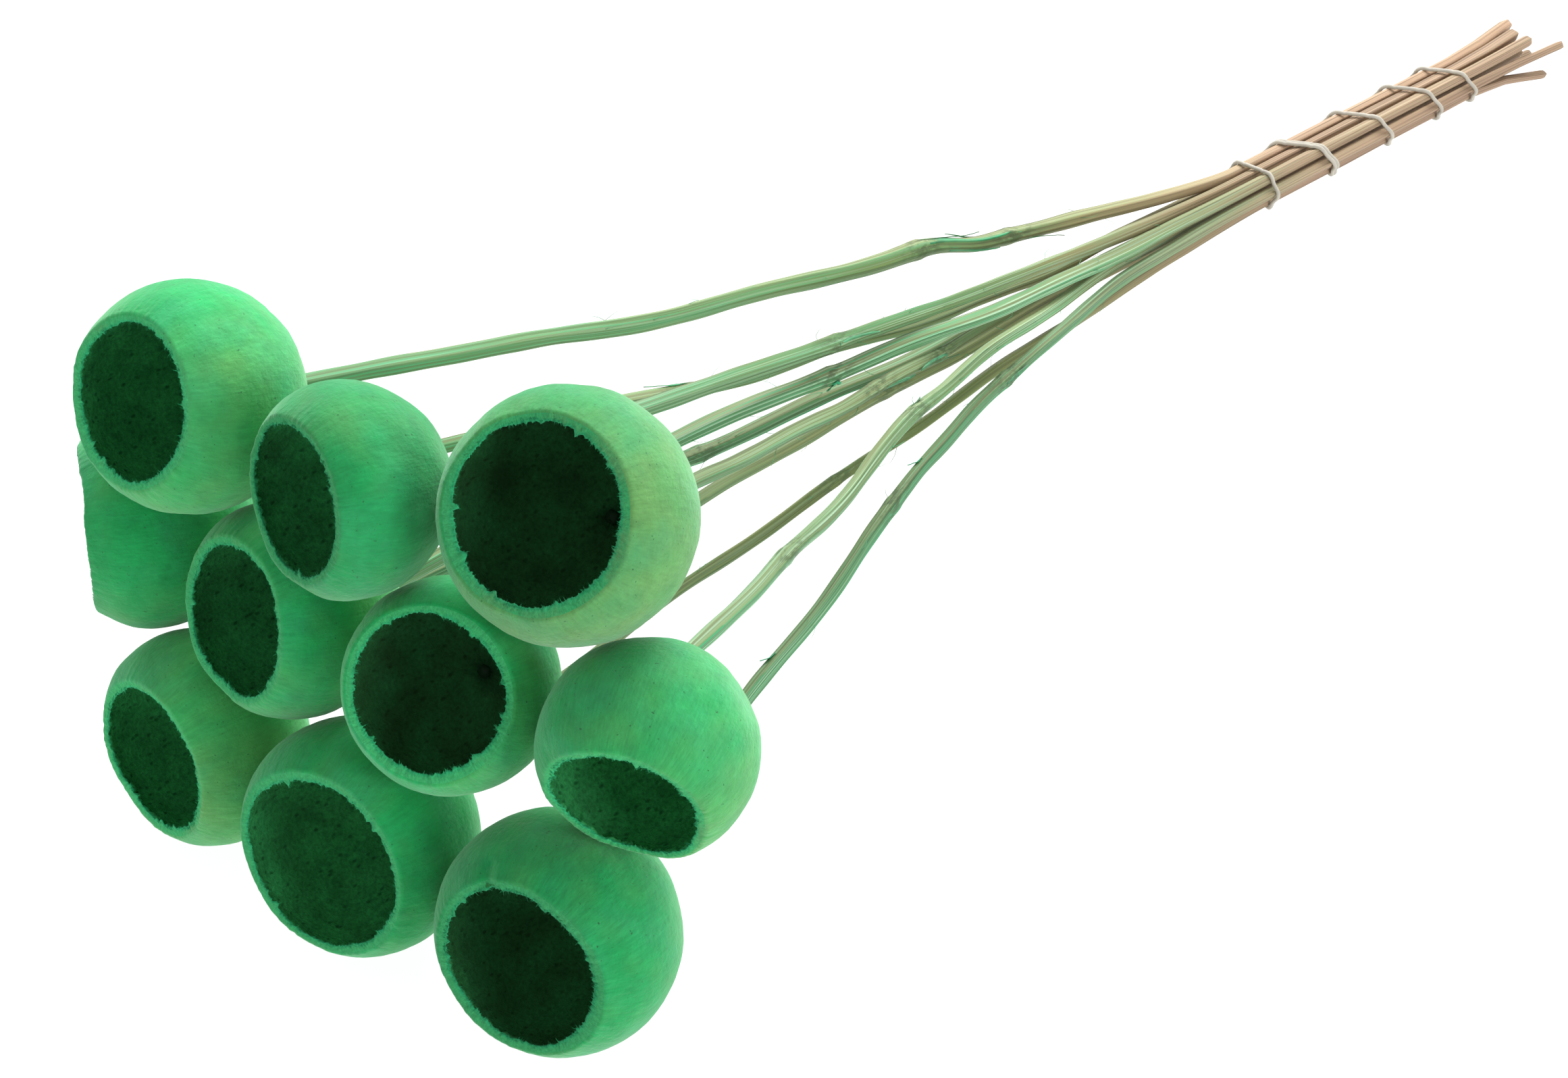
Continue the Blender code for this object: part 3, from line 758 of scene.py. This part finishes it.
def rim_needles(number, centre, shape, longest):
    """Loose fibres that stand in from a cup's torn edge."""
    rng = np.random.default_rng(FIBRE_SEED + number)
    count = RIM_FIBRES
    pick = rng.integers(0, CUP_AROUND, count)
    torn_r, torn_h = shape.edge()
    across, side, out = cup_axes(number)
    angle = shape.angle[pick]
    ring = around(angle, across, side)
    tangent = np.cross(out, ring)
    inset = rng.uniform(0.15, 0.7, count) * MM
    roots = (centre + (torn_r[pick] + inset)[:, None] * ring
             + (torn_h[pick] - 0.05 * MM)[:, None] * out)
    length = longest * (0.22 + 0.78 * rng.random(count) ** 4)
    heading = unit(-ring + tangent * rng.normal(0, 0.6, (count, 1))
                   + out * rng.normal(-0.05, 0.35, (count, 1)))
    tips = roots + heading * (length + inset)[:, None]
    sag = np.cross(heading, ring) * (rng.normal(0, 0.16, count) * length)[:, None]
    return needles(roots, tips, sag, rng.uniform(0.035, 0.075, count) * MM)


def bunch_axis(y):
    """Middle of the bunch at each distance along it."""
    y = np.atleast_1d(y)
    drop = (END_HEIGHT - MIDDLE_HEIGHT) * y / BUNCH_LENGTH
    return np.stack([0 * y, y, MIDDLE_HEIGHT + drop], -1)


def slot_offset(slot):
    """Place in the close-packed tie, from its middle."""
    column, row = slot
    return np.array([column * SLOT_PITCH, 0.0, row * SLOT_PITCH * np.sin(np.pi / 3)])


def stem_corners(number, centre):
    """The route's key points: the tip in the cup, four Bezier corners from
    the shell to the tie, and three more on to the free end."""
    cup, stem = CUPS[number], STEMS[number]
    out = direction(cup.turn, cup.nod)
    tip = centre - out * (cup.diameter / 2 - POLE_WALL - STEM_IN_CUP)
    start = centre - out * (cup.diameter / 2 + STEM_STRAIGHT)
    leaving = direction(cup.turn + stem.turn, cup.nod + stem.nod)
    offset = slot_offset(stem.slot)
    tie_in = bunch_axis(TIE_START)[0] + offset
    downhill = unit(bunch_axis(1.0)[0] - bunch_axis(0.0)[0])
    bends = (start, start - leaving * stem.lead * MM, tie_in - downhill * stem.draw * MM, tie_in)
    last_wrap = bunch_axis(BAND_WRAPS[-1] + BAND_ADVANCE / 2)[0] + offset
    finish = bunch_axis(BUNCH_LENGTH + stem.extra * MM)[0] + offset
    spread = np.array([stem.spread[0], 0.0, stem.spread[1]]) * MM
    halfway = (last_wrap + finish) / 2 + spread * 0.3
    return tip, bends, (last_wrap, halfway, finish + spread - END_INSET * downhill)


def at_length(place, length, points):
    """Points at distances along a path, given its length at each of its own."""
    return np.stack([np.interp(place, length, points[:, k]) for k in range(3)], -1)


def along_path(points, count):
    """The path sampled again at even steps, with its length at each."""
    strides = np.linalg.norm(np.diff(points, axis=0), axis=1)
    length = np.concatenate([[0], np.cumsum(strides)])
    even = np.linspace(0, length[-1], count)
    return at_length(even, length, points), even


def stem_path(number, centre):
    """Even stations from the tip in the cup to the free end: a straight bit,
    a cubic Bezier, and a run along the tie that leans out at its end. Bends
    are added as bell curves, with a slow random wander that ends at the tie."""
    tip, (p0, p1, p2, p3), rest = stem_corners(number, centre)
    t = np.linspace(0, 1, CURVE_STEPS)[:, None]
    curve = (1 - t) ** 3 * p0 + 3 * t * (1 - t) ** 2 * p1 + 3 * t * t * (1 - t) * p2 + t ** 3 * p3
    path, length = along_path(np.concatenate([[tip], curve, rest]), STEM_STATIONS)
    side, rise, _ = reed_axes(path)
    stray = np.zeros(STEM_STATIONS)
    for place, amount, width in BENDS.get(number, ()):
        stray += amount * MM * bell(length / MM - place, width)
    rng = np.random.default_rng(PATH_SEED + number)
    share = length / length[-1]
    free = ease(share / 0.15) * (1 - ease((share - 0.5) / 0.15))
    wander = [sum(np.cos(TAU * length / (wave * MM) + rng.uniform(0, TAU)) for wave in (130, 58))
              for _ in range(2)]
    stray_side = stray * np.cos(LIT_SIDE) + STEM_WANDER * wander[0] * free
    stray_rise = stray * np.sin(LIT_SIDE) + STEM_WANDER * wander[1] * free
    return along_path(path + stray_side[:, None] * side + stray_rise[:, None] * rise,
                      STEM_STATIONS)


def reed_axes(path):
    """Level and square to the path, square to both, and along it."""
    tangent = unit(np.gradient(path, axis=0))
    side = unit(np.cross(tangent, UP))
    return side, np.cross(side, tangent), tangent


def closed_tube(rings):
    """Points, quads and triangles of a tube through rings of points, row by
    row, that is closed with a point in the middle of its first and last ring."""
    rows, sides = rings.shape[:2]
    points = np.concatenate([rings.reshape(-1, 3), rings[:1].mean(1), rings[-1:].mean(1)])
    k = np.arange(sides)
    near = np.stack([(k + 1) % sides, k, np.full(sides, rows * sides)], -1)
    far = np.stack([k, (k + 1) % sides, np.full(sides, rows * sides + 1)], -1) + [
        (rows - 1) * sides, (rows - 1) * sides, 0]
    return points, grid_faces(rows, sides), np.concatenate([near, far])


class Reed:
    """A stem's path and axes, with its outline: a radius for each station and
    angle, and how much painted light each of its flat faces gets."""

    def __init__(self, number, centre, stems):
        self.number = number
        self.path, self.length = stem_path(number, centre)
        self.side, self.rise, self.tangent = reed_axes(self.path)
        self.q = -np.arange(STEM_SIDES) * TAU / STEM_SIDES
        self.outline, self.faded = reed_outline(number, self.length, self.q, stems)
        self.knot = sum(bell(self.length / MM - place, KNOT_LENGTH) for place in JOINTS[number])

    def rings(self):
        """Points are path + radius (cos q side + sin q rise)."""
        spoke = around(self.q, self.side[:, None], self.rise[:, None])
        return self.path[:, None] + self.outline[..., None] * spoke

    def skin(self, place, angle, lift):
        """Points lift above the surface at distances along the reed and at
        angles round it, with the way out of the surface there."""
        station = nearest_row(place, self.length)
        column = np.round(-angle * STEM_SIDES / TAU).astype(int) % STEM_SIDES
        out = around(angle, self.side[station], self.rise[station])
        middle = at_length(place, self.length, self.path)
        return middle + (self.outline[station, column] + lift)[..., None] * out, out


def reed_outline(number, length, q, stems):
    """Radius of a reed at each station and angle: a rounded polygon of four
    or five sides that turns slowly, with fine ribs, a taper from cup to tie,
    slow swells, a collar at each joint, where the sheath before it ends in a
    step, and ends that are cut square. With it, how much painted light each flat
    face gets: most on the reed's upper side."""
    rng = np.random.default_rng(REED_SEED + number)
    share = length / length[-1]
    radius = STEM_AT_CUP + (STEM_AT_TIE + 0.12 * MM - STEM_AT_CUP) * np.minimum(share / 0.65, 1)
    loose = 1 - ease((share - 0.55) / 0.12)
    radius = radius * (1 + (STEMS[number].stout - 1) * loose)
    phase = rng.uniform(0, TAU, 4)
    swell = sum(np.cos(TAU * length / wave + p)
                for wave, p in zip(np.array([90, 47, 29, 17]) * MM, phase))
    radius = radius * (1 + 0.02 * swell * loose)
    for place in JOINTS[number]:
        past = length / MM - place
        sheath = np.where(past < 0, np.exp(np.minimum(past, 0) / 40), bell(past, 1.0))
        radius = radius * (1 + 0.1 * sheath + 0.08 * bell(past, 2.4))
    if number == WAISTED_STEM:
        radius = radius * (1 - 0.16 * bell(length - WAIST_PLACE, WAIST_LENGTH))
    free_end = ease((share - 0.91) / 0.07)
    radius = radius * (1 + (END_STOUT.get(number, 1.0) - 1) * free_end)
    corners = rng.integers(4, 6)
    turned = q[None, :] + (rng.uniform(0, TAU) + 1.6 * share)[:, None]
    sector = np.mod(turned, TAU / corners) - np.pi / corners
    face = q[None, :] - sector
    # Painted light: faces on the reed's upper side get most of the paler khaki, with some random
    # change
    faded = 0.5 + 0.5 * np.cos(face - LIT_SIDE)
    faded = faded + 0.25 * np.cos(3 * face + 7 * share[:, None] + phase[1])
    shape = 0.16 + 0.84 * np.cos(np.pi / corners) / np.cos(sector)
    ribs = np.cos(11 * turned + 1.5 * np.sin(3 * turned)) + 0.5 * np.cos(7 * turned + phase[0])
    outline = radius[:, None] * shape + stems.rib * ribs * 0.5 * (1 - 0.4 * share)[:, None]
    ends = np.minimum(length, length[-1] - length)
    blunt = 1 - 0.12 * (1 - np.clip(ends / (0.7 * MM), 0, 1)) ** 2
    return outline * blunt[:, None], np.clip(faded, 0, 1)


def splinter(reed, start, reach, angle, half_width, lift, rows=14):
    """A torn strip that is still rooted in the reed: it follows the skin,
    stands off it by lift times t squared, narrows as the root of what is left
    of it, and waves a little. Its section is a flat diamond."""
    t = np.linspace(0, 1, rows)
    place = (start + reach * t) * MM
    points, out = reed.skin(place, np.radians(angle) + 0.12 * np.sin(5 * t + start),
                            (lift * t ** 2 - 0.15 * (1 - t) ** 2) * MM)
    heading = unit(np.gradient(points, axis=0))
    across = unit(np.cross(heading, out))
    rise = np.cross(across, heading)
    width = half_width * MM * (0.25 + 0.75 * np.sqrt(1 - t)) * (1 + 0.15 * np.sin(9 * t + start))
    wide = width[:, None] * across
    thick = 0.11 * MM * rise
    return closed_tube(np.stack([points + wide, points - thick, points - wide, points + thick], 1))


def reed_hairs(reed):
    """Fine loose fibres that have split off the reed's ribs."""
    rng = np.random.default_rng(HAIR_SEED + reed.number)
    count = REED_HAIRS
    place = rng.uniform(0.08, 0.6, count) * reed.length[-1]
    angle = rng.uniform(0, TAU, count)
    roots, out = reed.skin(place, angle, -0.05 * MM)
    ahead = reed.tangent[nearest_row(place, reed.length)] * rng.choice([-1, 1], count)[:, None]
    long = rng.uniform(1.5, 7.0, count)[:, None] * MM
    tips = roots + long * unit(ahead + out * rng.uniform(0.1, 0.55, (count, 1)))
    sag = 0.12 * long * (out + np.cross(ahead, out) * rng.normal(0, 0.8, (count, 1)))
    return needles(roots, tips, sag, rng.uniform(0.05, 0.09, count) * MM)


def add_stem(number, centre, material, stems):
    """One reed with its torn strips, barbs and hairs as a single piece, with
    what its material reads at each point."""
    reed, stem = Reed(number, centre, stems), STEMS[number]
    parts, fresh = [closed_tube(reed.rings())], [0.0]
    for owner, start, reach, *form in SPLINTERS:
        if owner == number:
            parts.append(splinter(reed, start, reach, *form))
            fresh.append(STRIP_FRESH if abs(reach) > LONGEST_BARB else 1.0)
    parts.append(reed_hairs(reed))
    fresh.append(HAIR_FRESH)
    points, quads, triangles = joined(parts)
    piece = make_mesh(f"reed_stem_{number:02d}", [material], points + BUNCH_ORIGIN, quads, triangles)
    # A reed's place along the bunch grows all the way from cup to free end
    nearest = nearest_row(points[:, 1], reed.path[:, 1])
    run = reed.length[nearest]
    away = points - reed.path[nearest]
    turn = np.arctan2((away * reed.rise[nearest]).sum(-1), (away * reed.side[nearest]).sum(-1))
    body = STEM_STATIONS * STEM_SIDES
    turn[:body] = np.tile(reed.q, STEM_STATIONS)
    run[:body] = np.repeat(reed.length, STEM_SIDES)
    # How much painted light each point gets; strips and hairs get a little
    faded = np.full(len(points), 0.3)
    faded[:body] = reed.faded.reshape(-1)
    dye = np.full(len(points), stem.green - 0.25)
    dye[body + 2:] += 0.4
    grain = [STEM_AT_CUP * np.cos(turn), STEM_AT_CUP * np.sin(turn), run + REED_SHIFT * number]
    set_attributes(piece, grain=np.column_stack(grain), along=run / reed.length[-1], dye=dye,
                   faded=faded, torn=np.repeat(fresh, [len(part[0]) for part in parts]),
                   knot=reed.knot[nearest], stripes=stem.stripes, tone=stem.tone)
    settle(piece, "reed_stem", f"stem_{number:02d}")


def taut_radius(angle, offset):
    """How far out a cord lies that is pulled tight round the tie's six corner
    stems, at each angle about its axis: the nearer of the straight lines
    between neighbouring corners, moved out by offset, and never inside the
    arc of that radius round a corner."""
    slots = ((1.5, 0), (1, 1), (-1, 1), (-1.5, 0), (-1, -1), (1, -1))
    corners = np.stack([slot_offset(s)[[0, 2]] for s in slots])
    ray = np.stack([np.cos(angle), np.sin(angle)], -1)
    edge = np.roll(corners, -1, axis=0) - corners
    normal = unit(np.stack([edge[:, 1], -edge[:, 0]], -1))
    facing = ray @ normal.T
    reach = (corners * normal).sum(-1) + offset
    lines = np.where(facing > 0.05, reach / np.maximum(facing, 0.05), np.inf).min(-1)
    ahead = ray @ corners.T
    side = (corners ** 2).sum(-1) - ahead ** 2
    hits = (ahead > 0) & (side < offset ** 2)
    arc = np.where(hits, ahead + np.sqrt(np.maximum(offset ** 2 - side, 0)), 0).max(-1)
    return np.where(arc > 0, np.minimum(lines, np.maximum(arc, 0.97 * lines)), lines)


def band_places():
    """Turn numbers and places along the bunch that the elastic goes through:
    each wrap advances evenly over the front, and the back makes up the rest."""
    turns, places = [-0.5], [BAND_WRAPS[0] - 1.5 * MM]
    for i, wrap in enumerate(BAND_WRAPS):
        half = BAND_ADVANCE / 2 if i else 0.0
        turns += [i - 0.25, i + 0.25]
        places += [wrap - half, wrap + half + (0.0 if i else 1.0 * MM)]
    return np.array(turns + [turns[-1] + 0.3]), np.array(places + [places[-1] + 2 * MM])


def band_strand(first, last, shift, radius):
    """A stretch of the elastic between two turn numbers, moved along the
    bunch, and swept with a round outline."""
    turns, places = band_places()
    turn = np.linspace(first, last, round((last - first) * BAND_STEPS))
    y = np.interp(turn, turns, places)
    kernel = np.hanning(2 * BAND_EASE + 1)
    y = np.convolve(np.pad(y, BAND_EASE, "edge"), kernel / kernel.sum(), "valid") + shift
    angle = BAND_FRONT_ANGLE - TAU * turn
    reach = taut_radius(angle, STEM_AT_TIE + BAND_GAP + radius)
    return cord_sweep(bunch_axis(y) + reach[:, None] * around(angle, ACROSS, UP), radius)


def cord_sweep(path, radius, sides=14):
    """A round cord along a path that winds about Y. The outline's axes are Y
    made square to the path, and what is square to both."""
    tangent = unit(np.gradient(path, axis=0))
    first = unit(ALONG - tangent[:, 1:2] * tangent)
    second = np.cross(tangent, first)
    q = -np.arange(sides) * TAU / sides
    ends = np.minimum(np.arange(len(path)), np.arange(len(path))[::-1])
    thick = radius * np.sqrt(1 - (1 - np.clip(ends / 4, 0, 1)) ** 2 * 0.8)
    return closed_tube(path[:, None]
                       + thick[:, None, None] * around(q, second[:, None], first[:, None]))


def place_object(name, data, place, back, right):
    """A camera or a light at a place, with back behind it and its own right."""
    item = bpy.data.objects.new(name, data)
    bpy.context.scene.collection.objects.link(item)
    axes = np.eye(4)
    axes[:3] = np.column_stack([right, np.cross(back, right), back, place])
    item.matrix_world = Matrix(axes.tolist())
    return item


class POD_OT_camera(bpy.types.Operator):
    """Add the camera at the photograph's viewing angle"""
    bl_idname = "pod.camera"
    bl_label = "Camera"

    def execute(self, context):
        back = direction(CAMERA_TURN, CAMERA_DROP)
        level = unit(np.cross(UP, back))
        roll = np.radians(CAMERA_ROLL)
        right = level * np.cos(roll) + np.cross(back, level) * np.sin(roll)
        data = bpy.data.cameras.new("photo_camera")
        data.sensor_width = SENSOR
        data.sensor_fit = "HORIZONTAL"
        data.lens = SENSOR * CAMERA_FOCUS_PX / IMAGE_WIDTH_PX
        place = CAMERA_PLACE + BUNCH_ORIGIN
        context.scene.camera = place_object("photo_camera", data, place, back, right)
        return {"FINISHED"}


class POD_OT_cups(bpy.types.Operator):
    """Add the ten cups and the loose fibres of their rims"""
    bl_idname = "pod.cups"
    bl_label = "Cups"

    def execute(self, context):
        cups = context.scene.pod_cups
        materials = [husk_material(cups), rim_material(cups), lining_material(cups)]
        for number, centre in sorted(place_cups().items()):
            shape = add_cup(number, centre, materials, cups)
            points, *faces = rim_needles(number, centre, shape, cups.hair)
            hairs = make_mesh(f"rim_fibre_{number:02d}", [materials[1]], points + BUNCH_ORIGIN, *faces)
            set_attributes(hairs, grain=points, edge=1.0, tone=shape.cup.tone)
            settle(hairs, "pod_shell")
        return {"FINISHED"}


class POD_OT_stems(bpy.types.Operator):
    """Add the ten reed stems"""
    bl_idname = "pod.stems"
    bl_label = "Stems"

    def execute(self, context):
        stems = context.scene.pod_stems
        material = reed_material(stems)
        for number, centre in sorted(place_cups().items()):
            add_stem(number, centre, material, stems)
        return {"FINISHED"}


class POD_OT_band(bpy.types.Operator):
    """Add the elastic that binds the stems"""
    bl_idname = "pod.band"
    bl_label = "Elastic"

    def execute(self, context):
        band = context.scene.pod_band
        points, *faces = joined([band_strand(*strand, band.radius) for strand in STRANDS])
        piece = make_mesh("elastic_wrap", [elastic_material(band)], points + BUNCH_ORIGIN, *faces)
        settle(piece, "elastic", "band")
        return {"FINISHED"}


class POD_OT_stage(bpy.types.Operator):
    """Add the pale floor and the soft studio light"""
    bl_idname = "pod.stage"
    bl_label = "Stage"

    def execute(self, context):
        stage = context.scene.pod_stage
        # Opal acrylic with light under it: flat, even and without gloss
        material, _, shader, _ = new_material("lit white acrylic")
        fill(shader, {"Base Color": stage.floor, "Roughness": 1.0, "Specular IOR Level": 0.0,
                      "Emission Color": WHITE, "Emission Strength": stage.glow})
        corners = np.array([(-1, -1, 0), (1, -1, 0), (1, 1, 0), (-1, 1, 0)]) * FLOOR_SPAN / 2
        floor = make_mesh("floor", [material], corners, np.array([[0, 1, 2, 3]]), smooth=False)
        world = bpy.data.worlds.new("white surround")
        world.use_nodes = True
        fill(world.node_tree.nodes["Background"], {"Color": WHITE, "Strength": stage.light})
        context.scene.world = world
        context.scene.view_settings.view_transform = "Standard"
        context.scene.view_settings.look = "None"
        for name, (place, size, power) in LIGHTS.items():
            add_softbox(name, np.array(place), size, power)
        return {"FINISHED"}


def add_softbox(name, place, size, power):
    """A square soft light that faces the middle of the cups."""
    data = bpy.data.lights.new(name, "AREA")
    data.shape = "SQUARE"
    data.size = size
    data.energy = power
    back = unit(place - MIDDLE_HEIGHT * UP)
    place_object(name, data, place + BUNCH_ORIGIN, back, unit(np.cross(UP, back)))


class POD_PT_panel(bpy.types.Panel):
    """Buttons and settings of the bunch"""
    bl_idname = "POD_PT_panel"
    bl_label = "Bell cup pods"
    bl_space_type = "VIEW_3D"
    bl_region_type = "UI"
    bl_category = "Pods"

    def draw(self, context):
        layout = self.layout
        for operator in OPERATORS:
            layout.operator(operator.bl_idname)
        for group in GROUPS:
            settings = getattr(context.scene, group)
            for key in type(settings).__annotations__:
                layout.prop(settings, key)


OPERATORS = (POD_OT_camera, POD_OT_cups, POD_OT_stems, POD_OT_band, POD_OT_stage)
GROUPS = {"pod_cups": PodCupSettings, "pod_stems": PodStemSettings,
          "pod_band": PodBandSettings, "pod_stage": PodStageSettings}


def register():
    for item in (*GROUPS.values(), *OPERATORS, POD_PT_panel):
        bpy.utils.register_class(item)
    for name, group in GROUPS.items():
        setattr(bpy.types.Scene, name, PointerProperty(type=group))


def unregister():
    for name in GROUPS:
        delattr(bpy.types.Scene, name)
    for item in (POD_PT_panel, *reversed(OPERATORS), *reversed(list(GROUPS.values()))):
        bpy.utils.unregister_class(item)


def main():
    register()
    bpy.ops.pod.camera()
    bpy.ops.pod.cups()
    bpy.ops.pod.stems()
    bpy.ops.pod.band()
    bpy.ops.pod.stage()


if __name__ == "__main__":
    main()
